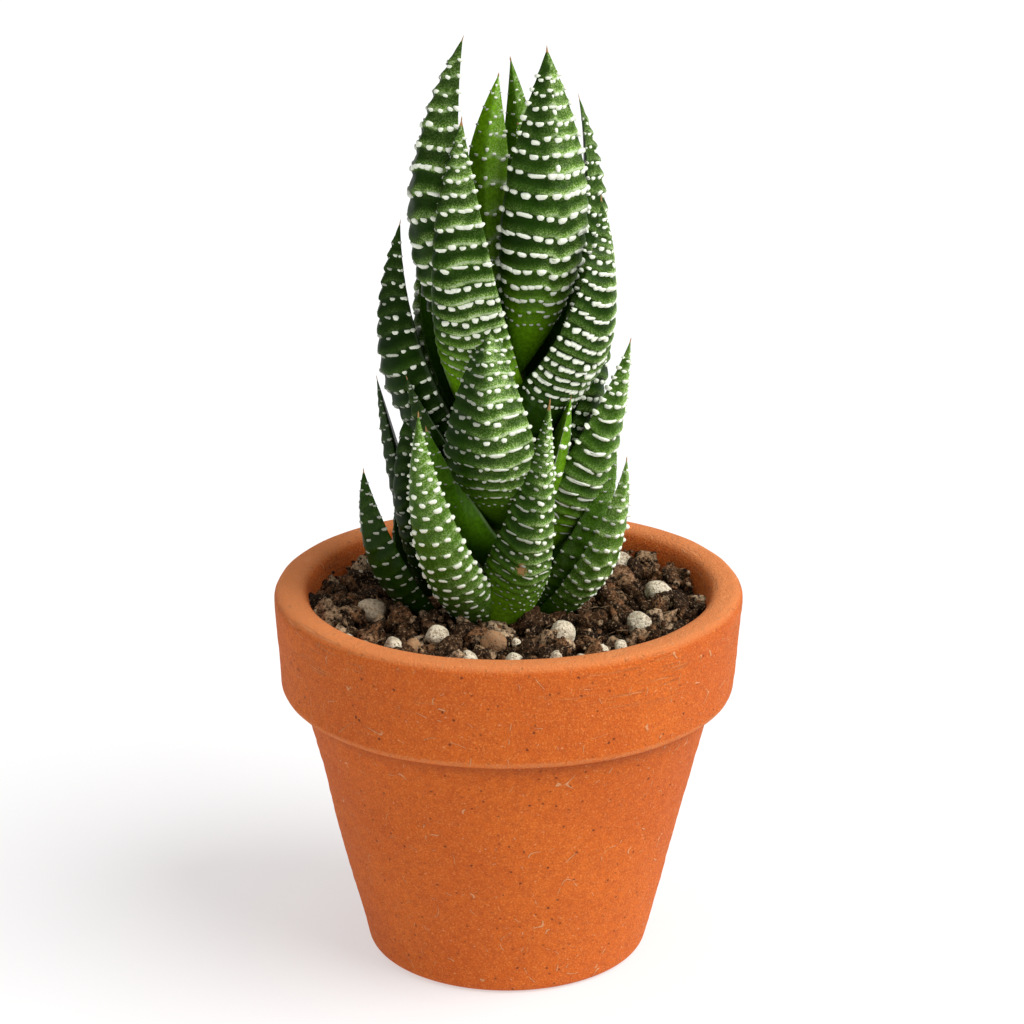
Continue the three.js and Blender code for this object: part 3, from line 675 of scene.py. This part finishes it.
LEAVES = {
    # springing from the soil, the front ones first
    "ground_1": dict(turn=-119, up=0, out=6, length=44.5, width=10.4, lean=(52, -8), bands=19,
                     sway=(-6, -5), roll=10, widest=0.2, foot=1, taper=1.7,
                     swell=0.22, bars=1.2, bar_edge=0.2, bar_length=(0.9, 1.7), lumpy=0,
                     beads=0.98, gap=1.7, stagger=0.35, bare=0.06, fine=0.3, keel=(0.6, 0.4),
                     frost=(0.2, 0.75), shade=0.15, light=0.45, warm=0.25),
    "ground_2": dict(turn=-101, up=0, out=8, length=42.6, width=10.8, lean=(24, -11), bands=19,
                     sway=(22, 4), roll=10, widest=0.3, foot=0.7, taper=1.1,
                     swell=0.5, sag=0.4, ridge=0.42, keel=(0, 0.8), bars=0.8, bar_edge=-0.6,
                     beads=0.78, gap=0.9, stagger=0.3, bare=0.16, fine=0.35, dim=0.1,
                     frost=(0.1, 1.1), shade=0.6, light=0.5, warm=0.1, pale_foot=0.7, dry=2.5,
                     scar=(0.34, 0.05)),
    "ground_3": dict(turn=-34, up=0.5, out=8.4, length=34.5, width=7.8, lean=(50, 4), bands=13,
                     roll=-20, swell=0.4, bars=0.05, beads=0.85, gap=1.5, stagger=0.2,
                     frost=(0.8, 1.6), shade=0.4, light=1, warm=0.2, ridge=-0.3, dim=-0.5),
    "ground_4": dict(turn=-14, up=0, out=4, length=34, width=11.5, lean=(42, 10), bands=14,
                     roll=-20, taper=1.4, swell=0.35, bars=0.05, beads=0.75, gap=2.0,
                     stagger=0.3, frost=(0.3, 1.6), shade=0.2, light=1, warm=0.2, dim=-0.1),
    "ground_5": dict(turn=-160, up=0, out=13.5, length=30, width=9.2, lean=(43, 4), bands=12,
                     roll=15, taper=1.9, swell=0.3, bars=1.6, bar_length=(0.9, 1.5), lumpy=0,
                     beads=0.95, gap=2.6, light=0.05, frost=(0.08, 0.06), dim=1.1, shade=0.4),
    "ground_6": dict(turn=177, up=1, out=11, length=43, width=8.4, lean=(26, -20), bands=14,
                     roll=20, swell=0.6, bars=0.1, beads=0.75, gap=1.6, light=0,
                     frost=(0.08, 0.08), dim=0.6),
    "ground_7": dict(turn=165, up=0, out=12, length=40, width=8, lean=(17, 14), bands=15,
                     roll=15, taper=1.9, swell=0.6, bars=0, beads=0.75, gap=1.7, light=0,
                     frost=(0.08, 0.08), dim=1.1),
    "ground_8": dict(turn=150, up=0, out=18.5, length=17, width=4.5, lean=(24, -2), bands=8,
                     bars=0, beads=0.6, gap=2, light=0.1, frost=(0.2, 0.2), dim=1.1),
    "ground_9": dict(turn=42, up=0, out=9, length=30, width=9, lean=(42, 10), bands=13),
    "ground_10": dict(turn=82, up=0, out=9, length=38, width=10, lean=(38, 0), bands=15),
    "ground_11": dict(turn=120, up=0, out=10, length=35, width=9.5, lean=(40, 2), bands=14),
    # round the lower stem
    "low_1": dict(turn=-21, up=12.5, out=5, length=40.5, width=12.3, lean=(37, 12), bands=15,
                  roll=-28, widest=0.3, taper=1.25, sag=0.55, bars=1.3, bar_edge=-0.6, lumpy=0.1,
                  bar_length=(3.2, 5.2), gap=0.9, beads=1.08, bare=0.12, frost=(0.3, 1.2),
                  shade=0.6, pale_foot=0.8, light=0.9, warm=0.15),
    "low_2": dict(turn=-140, up=12, out=4, length=27, width=12.5, lean=(46, 14), bands=9,
                  swell=0.25, bare=0.5, frost=(0, 0.1), beads=0.6, bars=0.6, gap=2, light=0.9,
                  warm=0.35, shade=0.3, dim=1.1, margin=0.12),
    "low_3": dict(turn=-46, up=16.5, out=4.5, length=26, width=9, lean=(28, 20), bands=7,
                  roll=52, swell=0.2, light=1, warm=1.1, frost=(0.1, 0.1), shade=0.1, margin=0.5),
    "low_4": dict(turn=45, up=14, out=5, length=38, width=12, lean=(40, -4), bands=14),
    "low_5": dict(turn=130, up=13, out=5, length=40, width=12, lean=(42, -6), bands=14),
    "low_6": dict(turn=-102, up=18, out=4, length=40, width=15.2, lean=(46, -22), bands=17,
                  widest=0.42, foot=0.45, taper=1.3, swell=0.7, sag=0.4, bare=0.2, fine=0.45,
                  beads=0.96, gap=0.85, stagger=0.28, bars=0.5, bar_edge=0.5, dim=-0.15,
                  frost=(0.06, 1.2), keel=(0.3, 1.0), light=0.3, pale_foot=0.3, shade=0.6),
    "low_7": dict(turn=-156, up=21, out=4, length=26, width=9, lean=(46, 20), bands=9,
                  swell=0.6, bare=0.2, frost=(0.1, 0.12), light=0, dim=1.1, gap=1.8, margin=0.2),
    "low_8": dict(turn=95, up=20, out=5, length=42, width=14, lean=(42, -16), bands=15),
    "low_9": dict(turn=178, up=26.5, out=5, length=44, width=14.8, lean=(55, -9), bands=15,
                  ease=0.7, roll=25, light=0, frost=(0.08, 0.06), dim=0.5, gap=1.5,
                  margin=0.05),
    # round the upper stem
    "upper_1": dict(turn=0, up=22, out=4, length=42, width=11, lean=(36, -6), bands=15,
                    bars=0.5),
    "upper_2": dict(turn=-34, up=38.5, out=4.8, length=39, width=16, lean=(49, -7), bands=17,
                    widest=0.25, foot=1.3, taper=1.25, sag=0.4, bars=0.9, bar_edge=-0.7,
                    beads=1.02, fine=0.1, lumpy=0.8, frost=(0.2, 1.05), light=0.3),
    "upper_3": dict(turn=-129, up=39.7, out=4, length=48, width=15, lean=(32.5, -16), bands=17,
                    sway=(5.8, -7.3), widest=0.13, foot=1, taper=1.9,
                    sag=0.1, frost=(0.15, 1.0), ridge=-0.45, keel=(0.1, 0.85), dim=-0.42,
                    bars=0.35, bar_edge=0.2, beads=0.98, gap=0.9, pale_foot=1, dry=2),
    "upper_4": dict(turn=55, up=30, out=5, length=48, width=13, lean=(36, -16), bands=16),
    "upper_5": dict(turn=140, up=30, out=4.5, length=46, width=13, lean=(38, -14), bands=16),
    "upper_6": dict(turn=108, up=37, out=4.5, length=42, width=12, lean=(32, -16), bands=15),
    # the crown
    "crown_1": dict(turn=-57, up=41.2, out=3.2, length=56.5, width=14.2, lean=(20, -7.2),
                    bands=18, sway=(1.5, 1.5), roll=-20, widest=0.5, foot=0.03, taper=1.75,
                    sag=0.3, step=0.35, beads=1.24, gap=0.9, bars=0.75, bar_edge=-0.5,
                    crest_beads=0.7, ridge=0.12, keel=(0.45, 0.9), bare=0.21, fine=0.2,
                    frost=(0.12, 1.0), pale_foot=0.9, shade=0.7),
    "crown_2": dict(turn=-163, up=41.5, out=4.5, length=57.5, width=13.6, lean=(22, -20),
                    bands=16, ease=1.2, roll=15, widest=0.5, foot=0.6, taper=1.8,
                    beads=1.1, bars=0.5, gap=1.5, frost=(0.12, 0.45), light=0.15, dim=-0.3),
    "crown_3": dict(turn=8, up=39, out=4.5, length=50, width=12.4, lean=(29, -12), bands=16,
                    roll=-10, bars=0.6, frost=(0.35, 0.9), light=0.25),
    "crown_4": dict(turn=98, up=46, out=3.5, length=36, width=10, lean=(26, -14), bands=13),
    # the young leaves in its heart
    "heart_1": dict(turn=-115, up=50, out=3, length=42, width=6.4, lean=(2, -2), bands=10,
                    sway=(-10.7, 10.5), roll=25, widest=0.68, foot=0.3, taper=1.3,
                    swell=0.3, ridge=-0.1, keel=(0, 1.1), warm=1.5, light=1, frost=(0, 1.1),
                    shade=0.3, beads=0.75, crest_beads=0.8, gap=2.0, bars=0, fine=0.1, dim=-0.6,
                    margin=0.15, dry=0.5),
    "heart_2": dict(turn=20, up=52, out=1.6, length=42, width=7.4, lean=(7.5, -10.2), bands=11,
                    sway=(1.5, -1.5), roll=-105, widest=0.5, foot=0.6, taper=1.3,
                    swell=0.2, ridge=-0.1, keel=(0, 1.0), warm=0.5, light=0.5,
                    frost=(0, 0.6), shade=0.3, beads=0.65, gap=2.2, bars=0, dim=-0.4,
                    margin=0.2, dry=0.8),
    "heart_3": dict(turn=-60, up=58, out=3.4, length=26, width=3.6, lean=(2, 0), bands=5,
                    sway=(5, -6), roll=-30, swell=0, warm=1, light=1, frost=(0.1, 0.4),
                    shade=0.1, beads=0.4, gap=3, bars=0, keel=(0, 1.0), margin=0.4, dry=0.4),
}


def mix(a, b, share):
    """From a at share 0 to b at share 1."""
    return a + (b - a) * share


def soft_step(x, low, high):
    """0 below low, 1 above high and a smooth cubic in between."""
    t = np.clip((x - low) / (high - low), 0, 1)
    return t * t * (3 - 2 * t)


def leaf_directions(leaf, s):
    """A leaf's own direction, its outward and its across direction at shares s of its length: the
    line leans and sways by angles that run from the foot to the tip, then the two are rolled."""
    lean = np.radians(mix(*leaf["lean"], np.maximum(s, 0) ** leaf["ease"]))[..., None]
    sway = np.radians(mix(*leaf["sway"], s))[..., None]
    turn = np.radians(leaf["turn"])
    roll = np.radians(leaf["roll"])
    away = np.array([np.cos(turn), np.sin(turn), 0])
    side = np.array([-np.sin(turn), np.cos(turn), 0])
    up = np.array([0, 0, 1])
    along = np.cos(sway) * (np.sin(lean) * away + np.cos(lean) * up) + np.sin(sway) * side
    outward = np.cos(lean) * away - np.sin(lean) * up
    outward = outward - (outward * along).sum(-1, keepdims=True) * along
    outward = outward / np.linalg.norm(outward, axis=-1, keepdims=True)
    across = np.cross(along, outward)
    rolled = outward * np.cos(roll) + across * np.sin(roll)
    return along, rolled, across * np.cos(roll) - outward * np.sin(roll)


def leaf_middle(leaf, s):
    """The leaf's line at shares s: its foot and the sum of its direction from there on."""
    steps = np.linspace(-SINK / leaf["length"] - 0.01, 1.05, LINE_STEPS)
    along = leaf_directions(leaf, (steps[1:] + steps[:-1]) / 2)[0]
    path = np.cumsum(along * (steps[1] - steps[0]) * leaf["length"], axis=0)
    path = np.concatenate([np.zeros((1, 3)), path])
    turn = np.radians(leaf["turn"])
    foot = (leaf["out"] * np.cos(turn), leaf["out"] * np.sin(turn), SOIL_LEVEL / MM + leaf["up"])
    return np.stack([
        np.interp(s, steps, path[:, k]) - np.interp(0, steps, path[:, k]) + foot[k]
        for k in range(3)
    ], -1)


def leaf_half_width(leaf, s):
    """A quarter sine up to the widest place, then 1 less a power of the way on to the tip."""
    rise = np.sin(np.pi / 2 * np.clip(s / leaf["widest"], 0, 1))
    beyond = np.clip((s - leaf["widest"]) / (1 - leaf["widest"]), 0, 1)
    fall = 1 - beyond ** leaf["taper"]
    return np.maximum(leaf["width"] / 2 * mix(leaf["foot"], 1, rise) * fall, 0.13)


def band_shift(leaf, x, s):
    """How far the rows wander from straight across, in rows, at places x from edge to edge: two
    sines and a slope, a sag in the middle and a step beyond the keel."""
    a, b, c = leaf["wander"]
    wander = 0.14 * np.sin(2.2 * x + a) + 0.10 * np.sin(5.1 * x + b + 9 * s) + 0.10 * c * x
    beyond_keel = soft_step(x, leaf["ridge"] - 0.05, leaf["ridge"] + 0.15)
    return wander + leaf["sag"] * (0.5 - x**2) + leaf["step"] * beyond_keel


def band_place(leaf, s, x):
    """Which row a place is at, counted from the first, as a number that runs on between rows: even
    steps along the leaf, widened halfway by a sine."""
    share = (s - FIRST_BAND) / (LAST_BAND - FIRST_BAND)
    even = share + BAND_SPREAD * np.sin(2 * np.pi * share)
    return even * (leaf["bands"] - 1) + band_shift(leaf, x, s)


def leaf_skin(leaf, s, angle):
    """Points of the leaf's surface at shares s of its length and angles round its section: 0 to a
    half turn crosses the outer face, a flattened half round that turns into a keel near the tip,
    and the rest the inner face, a low arch. Swellings are gentle towards the tip and steep
    towards the foot."""
    half = leaf_half_width(leaf, s)
    x = -np.cos(angle)
    sine = np.sin(angle)
    start, sharp = leaf["keel"]
    keel = sharp * soft_step(s, start, start + 0.45)
    ridge = leaf["ridge"]
    flank = np.abs(x - ridge) / np.where(x < ridge, 1 + ridge, 1 - ridge)
    roof = mix(np.abs(sine) ** 0.9, (1 - flank**1.25) ** 0.95, keel)
    phase = band_place(leaf, s, x) % 1
    swell = np.cos(np.pi / 2 * np.clip(phase / SLOPE_TO_TIP, 0, 1)) ** 2
    swell = swell + np.cos(np.pi / 2 * np.clip((1 - phase) / SLOPE_TO_FOOT, 0, 1)) ** 2
    size = leaf["swell"] * np.minimum(1, leaf["width"] / 10) * np.minimum(1, half / 2.4)
    size = size * soft_step(s, leaf["bare"] - 0.04, leaf["bare"] + 0.14) * soft_step(s, 0.97, 0.93)
    rise = size * (swell * (CREST + FURROW) - FURROW)
    outer = sine >= 0
    over = np.where(outer, rise * soft_step(np.abs(sine), -0.1, 0.3), 0.35 * rise * (1 - np.abs(sine)))
    out_x = x * (half + over)
    fold = INNER_DEPTH * np.abs(sine) + 0.03 * np.sin(7 * x + leaf["wander"][1])
    out_y = np.where(outer, roof * (half * KEEL + over), -half * fold * np.abs(sine) ** 0.3)
    _, outward, across = leaf_directions(leaf, s)
    return leaf_middle(leaf, s) + out_x[..., None] * across + out_y[..., None] * outward


def leaf_normals(leaf, s, angle):
    """Directions straight out of the skin, from its slopes both ways."""
    turn = leaf_skin(leaf, s, angle + 0.02) - leaf_skin(leaf, s, angle - 0.02)
    rise = leaf_skin(leaf, s + 0.004, angle) - leaf_skin(leaf, s - 0.004, angle)
    normal = np.cross(turn, rise)
    return normal / np.linalg.norm(normal, axis=-1, keepdims=True)


def bead_rows(leaf, random):
    """Places and sizes of a leaf's tubercles, a row to a band: ovals, smooth bars and lumpy bars of
    a few ovals run together, with a bigger one at each edge of the leaf. They are smaller near the
    foot and the tip. Some leaves have them along the keel too. The columns are share of length,
    angle, half length, half width, height, tilt and whiteness."""
    beads = []
    grid = np.linspace(0, 1, 300)
    angle = np.linspace(0.04, np.pi - 0.04, 60)
    x = -np.cos(angle)
    for band in range(leaf["bands"]):
        place = np.interp(band, band_place(leaf, grid, 0), grid)
        if place < leaf["bare"] or place > LAST_BEADS:
            continue
        row = place - band_shift(leaf, x, place) * (LAST_BAND - FIRST_BAND) / (leaf["bands"] - 1)
        line = leaf_skin(leaf, row, angle)
        arc = np.concatenate([[0], np.cumsum(np.linalg.norm(np.diff(line, axis=0), axis=1))])
        grown = soft_step(place, leaf["bare"] - 0.02, leaf["bare"] + leaf["fine"])
        grow = mix(0.42, 1, grown) * mix(1, 0.58, soft_step(place, 0.6, 0.95)) * leaf["beads"]

        def put(middle, length, width, height, drift=0.0):
            """One tubercle with its middle this far along the row, in millimetres."""
            across = np.interp(middle, arc, x)
            dim = mix(0.42, 1, soft_step(across, leaf["dim"] - 0.1, leaf["dim"] + 0.12))
            beads.append((
                np.interp(middle, arc, row) + drift / leaf["length"],
                np.interp(middle, arc, angle), length / 2, width * mix(0.6, 1, dim) / 2,
                width * height * mix(0.5, 1, dim), random.normal(0, 0.09),
                # whiteness: greyer left of dim, which is painted shade on that flank
                mix(0.5, 1, grown) * dim,
            ))

        edge = EDGE_BEAD * grow
        for middle in (0.3 * edge, arc[-1] - 0.3 * edge):
            put(middle, edge * random.uniform(1.4, 1.9), edge * random.uniform(1.2, 1.7), 0.72)
        pitch = leaf["length"] * (LAST_BAND - FIRST_BAND) / (leaf["bands"] - 1)
        at = edge + random.uniform(0.1, 0.7) * leaf["gap"]
        set_back = random.integers(2)
        while at < arc[-1] - edge - 0.5:
            across = np.interp(at + 0.5, arc, x)
            near = 1 - 0.75 * min(1, abs(across - leaf["bar_edge"]))
            run_together = leaf["bars"] * near * soft_step(place, 0.78, 0.5) * mix(0.2, 1, grown)
            width = random.uniform(0.74, 1.0) * grow
            length = width * random.uniform(1.25, 1.75)
            if random.uniform() < run_together:
                length = random.uniform(*leaf["bar_length"]) * mix(0.7, 1, grow)
                length = min(length, arc[-1] - edge - at)
                width *= 0.88
                if random.uniform() < leaf["lumpy"]:
                    ovals = int(np.ceil(length / 1.35))
                    share = length / ovals
                    for k in range(ovals):
                        put(at + (k + 0.5) * share, share * 1.35, width * random.uniform(0.95, 1.2),
                            random.uniform(0.38, 0.48), random.normal(0, 0.05))
                else:
                    put(at + length / 2, length, width * 0.9, 0.42)
            else:
                drift = random.normal(0, 0.12) * leaf["gap"] - set_back * leaf["stagger"] * pitch
                put(at + length / 2, length, width, random.uniform(0.34, 0.44), drift)
                set_back = 1 - set_back
            at += length + random.uniform(0.30, 0.85) * leaf["gap"]
        if leaf["crest_beads"] and place > leaf["keel"][0] + 0.2 and random.uniform() < 0.75:
            middle = np.interp(np.arccos(-leaf["ridge"]), angle, arc)
            width = random.uniform(0.9, 1.5) * grow * leaf["crest_beads"]
            put(middle, 0.72 * width, width, 0.32, random.uniform(0.3, 0.5) * pitch)
    return np.array(beads)


def bead_points(leaf, beads):
    """The tubercles as low domes: rings and two poles laid out on the skin by their distances along
    and across it, then raised straight out of it."""
    s, angle, half_long, half_wide, height, tilt, whiteness = beads.T[:, :, None, None]
    reach, level = np.array(BEAD_RINGS).T[:, :, None]
    way = np.linspace(0, 2 * np.pi, BEAD_SIDES, endpoint=False)
    squareness = np.clip(half_wide / half_long, 0.62, 1)
    lumpy = 1 + 0.12 * np.sin(2 * way + 50 * tilt) + 0.08 * np.sin(3 * way + 90 * tilt)
    east = np.sign(np.cos(way)) * np.abs(np.cos(way)) ** squareness * half_long * reach
    north = np.sin(way) * np.where(np.sin(way) > 0, 0.80, 1.12) * half_wide * reach * lumpy
    north = north + tilt * east + (1.2 * tilt * half_long + 0.22 * half_wide) * (east / half_long) ** 2
    rise = level * height * (1 + 0.2 * np.sin(2.6 * east / half_wide + 50 * tilt) * (half_long > 0.8))
    poles = np.array([-0.8, 1.0]) * height[:, 0]
    east = np.concatenate([east.reshape(len(beads), -1), 0 * poles], 1)
    north = np.concatenate([north.reshape(len(beads), -1), 0 * poles], 1)
    rise = np.concatenate([rise.reshape(len(beads), -1), poles], 1)
    s, angle = s[:, 0], angle[:, 0]
    arm = leaf_skin(leaf, s, angle + 0.03) - leaf_skin(leaf, s, angle - 0.03)
    per_radian = np.maximum(np.linalg.norm(arm, axis=-1) / 0.06, 0.5)
    places = s + north / leaf["length"]
    angles = np.clip(angle + east / per_radian, -0.25, np.pi + 0.25)
    points = leaf_skin(leaf, places, angles) + rise[..., None] * leaf_normals(leaf, places, angles)
    faces = copied(ring_faces(len(BEAD_RINGS), BEAD_SIDES), len(beads), points.shape[1])
    return points.reshape(-1, 3), faces, np.repeat(whiteness, points.shape[1])


def frost_and_sheen_share(leaf, s, angle, beads):
    """How pale the skin is with bloom and painted sheen, from 0 to 1.2: a pale tail on the tip's side
    of each tubercle, where the swelling faces up, fading as an exponential of the distance from it
    and as a bell curve sideways, over a lighter bloom that grows towards the tip. The amount
    differs between the left and right flank, mostly more on the right: painted sheen, as if lit
    from there."""
    place, bead_angle, half_long, half_wide, _, _, whiteness = beads.T
    beyond = (s[..., None] - place) * leaf["length"]
    reach = leaf_half_width(leaf, s)[..., None] * 0.92
    beside = np.maximum(np.abs(angle[..., None] - bead_angle) * reach - half_long, 0)
    above = np.exp(-np.maximum(beyond - half_wide, 0) / FROST_AND_SHEEN_TAIL)
    below = np.exp(-np.maximum(-beyond - half_wide, 0) / FROST_AND_SHEEN_EDGE)
    halo = np.exp(-(beside / FROST_AND_SHEEN_SIDE) ** 2) * np.where(beyond > 0, above, below) * whiteness
    banded = soft_step(s, leaf["bare"] - 0.05, leaf["bare"] + 0.2)
    frost = banded * (0.75 * halo.max(-1) + 0.24) + 0.35 * soft_step(s, 0.55, 0.85)
    # painted sheen: each flank has its own amount, mostly more on the right, as if lit from there
    frost = frost * mix(*leaf["frost"], soft_step(-np.cos(angle), -0.55, 0.55))
    return np.clip(frost * soft_step(np.sin(angle), -0.3, 0.1), 0, 1.2)


def leaf_finish(finish):
    """Waxy skin: in each row a pale crest line, partly a painted highlight, with a pale bloom of fine
    papillae and painted sheen on the tip's side of it, fading into dark green and painted shade
    below the next row, white tubercles, and a dry, straw-brown tip or scar. The rows come from the
    fraction of the row number, whose edges a noise makes ragged."""
    bead = finish.painted("bead")
    dry = finish.painted("dry")
    warm = finish.painted("warm")
    light = finish.painted("light")
    banded = finish.painted("banded")
    frost_and_sheen_attribute = finish.painted("frost")
    broad = finish.grain(7 * MM, 2.0)
    fine = finish.grain(0.55 * MM, 3.0, 0.65)
    papillae = finish.cells(0.27 * MM).step(0.62, 0.22)
    patches = finish.grain(2.2 * MM, 3.0).step(0.32, 0.68)
    fade = finish.grain(4.5 * MM, 1.0).step(0.34, 0.66)
    row = finish.painted("row") + fine * 0.16 + 0.08
    phase = row.math("FRACT", row)
    # the bloom and its painted sheen lie on the tip's side of each row, where the swelling faces up
    stripe = phase.step(0.0, 0.10) * phase.step(0.58, 0.16)
    crest = phase.step(0.05, 0.13) * phase.step(0.29, 0.19) * frost_and_sheen_attribute.step(0.2, 0.6)
    rowed = banded * (stripe * 1.40 - 0.55) + 0.55
    frost = frost_and_sheen_attribute * rowed * (patches + 0.55)
    # light: a paler green, also painted light and shade: low on leaves in the shade of others, higher
    # on each right flank
    green = light.tint((0.0040, 0.018, 0.0005), (0.036, 0.125, 0.0035))
    green = (broad.step(0.35, 0.7) * 0.4).tint(green, (0.022, 0.072, 0.002))
    green = warm.tint(green, (0.190, 0.430, 0.007))
    # darker green between the rows, with painted shade under each swelling
    green = (banded * phase.step(0.24, 0.60) * (fade * 0.45 + 0.55)).tint(green, (0.003, 0.015, 0.0004))
    green = (fine.step(0.62, 0.38) * 0.35).tint(green, (0.003, 0.014, 0.0004))
    # pale bloom, with painted sheen where it is lit
    green = (frost * 0.64).tint(green, (0.200, 0.385, 0.048))
    # painted glints: pale speckles of the papillae within the sheen
    green = (papillae * frost * 0.90).tint(green, (0.54, 0.70, 0.28))
    # a pale line along each swelling's crest, partly a painted highlight, scaled with the bloom and
    # sheen
    green = (crest * frost * 0.5).tint(green, (0.60, 0.68, 0.46))
    white = fine.step(0.2, 0.8).tint((0.76, 0.81, 0.63), (0.96, 0.99, 0.88))
    skin = bead.tint(green, white)
    skin = (dry + fine - 1).step(0.0, 0.2).tint(skin, (0.36, 0.20, 0.08))
    return {
        "Base Color": skin,
        "Roughness": 0.40 + banded * 0.10 + bead * 0.10,
        "Coat Weight": 0.14 - banded * 0.12,
        "Normal": (fine * 0.5 + papillae * frost * 0.6).relief(0.06 * MM, 0.6),
    }


def grown_leaf(leaf, seed):
    """A leaf's mesh: its skin as rings round its line, closed at both ends, and its tubercles, with
    the numbers that its finish reads."""
    random = np.random.default_rng(seed)
    leaf = {**LEAF, **leaf, "wander": random.uniform(-1, 1, 3) * (3, 3, 1)}
    rows = leaf["bands"] * ROWS_A_BAND + PLAIN_ROWS
    angle = np.concatenate([
        np.linspace(0, np.pi, OUTER_SIDES, endpoint=False),
        np.linspace(np.pi, 2 * np.pi, INNER_SIDES, endpoint=False),
    ])[::-1]
    s, angle = np.meshgrid(np.linspace(-SINK / leaf["length"], 1, rows), angle, indexing="ij")
    ends = leaf_middle(leaf, np.array([-SINK / leaf["length"] - 0.005, 1.012]))
    skin = np.concatenate([leaf_skin(leaf, s, angle).reshape(-1, 3), ends])
    beads = bead_rows(leaf, random)
    bead, bead_faces, whiteness = bead_points(leaf, beads)
    x = -np.cos(angle)
    from_tip = (1 - s) * leaf["length"]
    edge = np.abs(np.sin(angle)) < 0.02
    outer = soft_step(np.sin(angle), -0.1, 0.2)
    banded = soft_step(s, leaf["bare"] - 0.05, leaf["bare"] + 0.15) * soft_step(s, 0.98, 0.93)
    dry = soft_step(from_tip, leaf["dry"], 0.3 * leaf["dry"])
    if leaf["scar"]:
        along, across = leaf["scar"]
        away = ((s - along) * leaf["length"] / SCAR_LENGTH) ** 2 + ((x - across) / SCAR_WIDTH) ** 2
        dry = dry + 0.80 * np.exp(-away) * outer
    on_skin = {
        "bead": leaf["margin"] * edge * soft_step(from_tip, 2, 6),
        "frost": frost_and_sheen_share(leaf, s, angle, beads),
        # strength of the darker green and painted shade between the rows
        "banded": leaf["shade"] * banded * outer * mix(1, 0.5, soft_step(s, 0.55, 0.85)),
        "row": band_place(leaf, s, x) + 9,
        "dry": dry,
        "warm": 0.6 * leaf["warm"] + leaf["pale_foot"] * soft_step(s, leaf["bare"] + 0.24, 0.06),
        # painted light and shade: the right flank paler and the left darker
        "light": leaf["light"] * mix(0.4, 1.1, soft_step(x, -0.8, 0.5)),
    }
    painted = {}
    for name, values in on_skin.items():
        on_beads = whiteness if name == "bead" else 0 * whiteness
        painted[name] = np.concatenate([values.ravel(), values[0, :1], values[-1, :1], on_beads])
    faces = ring_faces(rows, OUTER_SIDES + INNER_SIDES)
    return [(skin * MM, faces), (bead * MM, bead_faces)], painted


waxy_skin = new_material(
    "leaf_skin", {"Specular IOR Level": 0.02, "Coat Roughness": 0.22}, leaf_finish
)
for number, (name, leaf) in enumerate(LEAVES.items()):
    parts, painted = grown_leaf(leaf, 100 + number)
    piece = new_piece("grown_" + name, parts, waxy_skin, painted)
    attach(piece, "root")
    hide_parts("leaf_" + name)
